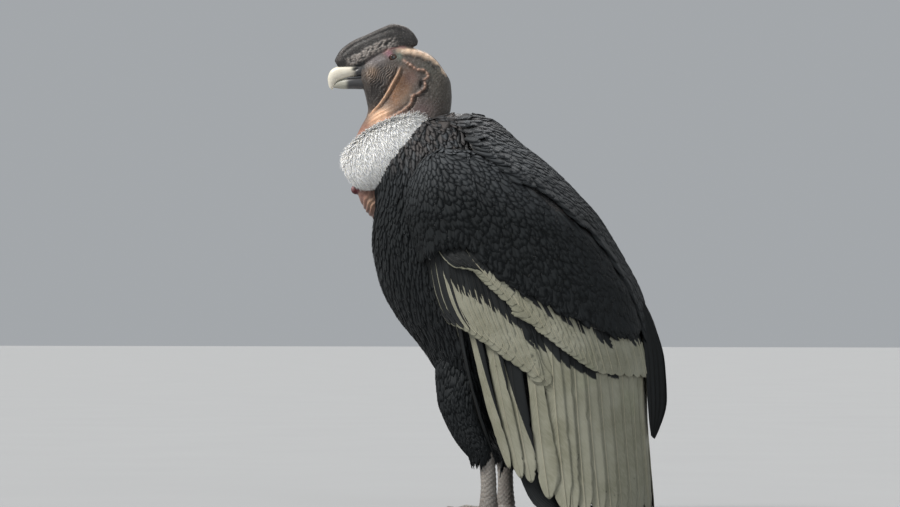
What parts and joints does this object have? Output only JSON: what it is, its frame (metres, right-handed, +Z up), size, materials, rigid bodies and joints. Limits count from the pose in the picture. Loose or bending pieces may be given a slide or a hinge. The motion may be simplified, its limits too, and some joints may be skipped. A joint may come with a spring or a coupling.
{
  "type": "andean condor figure",
  "caption": "Life-size standing Andean condor with folded wings, head in profile, tail and wing tips laid on the floor.",
  "frame": {"origin": "centre of the bounding box at floor level", "axes": "+Z up, the bird faces -X, its left side is towards -Y"},
  "size_m": [0.7134, 0.3318, 0.8486],
  "materials": {
    "bare_skin": "matte",
    "bill_horn": "satin",
    "black_feathers": "matte",
    "claw_horn": "satin",
    "comb_skin": "matte",
    "crop_skin": "matte",
    "eye": "gloss",
    "leg_skin": "matte",
    "red_skin": "satin",
    "white_down": "matte",
    "white_feathers": "matte"
  },
  "bodies": {
    "root": {"bill_lower": "bill_horn", "bill_upper": "bill_horn", "claw_hind_left": "claw_horn", "claw_hind_right": "claw_horn", "claw_inner_left": "claw_horn", "claw_inner_right": "claw_horn", "claw_middle_left": "claw_horn", "claw_middle_right": "claw_horn", "claw_outer_left": "claw_horn", "claw_outer_right": "claw_horn", "comb": "comb_skin", "crop_skin": "crop_skin", "eye_left": "eye", "eye_right": "eye", "foot_left": "leg_skin", "foot_right": "leg_skin", "head": "bare_skin", "mantle": "black_feathers", "neck": "bare_skin", "primaries_left": "black_feathers", "primaries_right": "black_feathers", "red_bulb": "red_skin", "ruff": "white_down", "secondaries_left": "white_feathers", "secondaries_right": "white_feathers", "shank_left": "leg_skin", "shank_right": "leg_skin", "tail": "black_feathers", "thigh_left": "black_feathers", "thigh_right": "black_feathers", "torso": "black_feathers", "wing_left": "black_feathers", "wing_right": "black_feathers"}
  },
  "joints": []
}
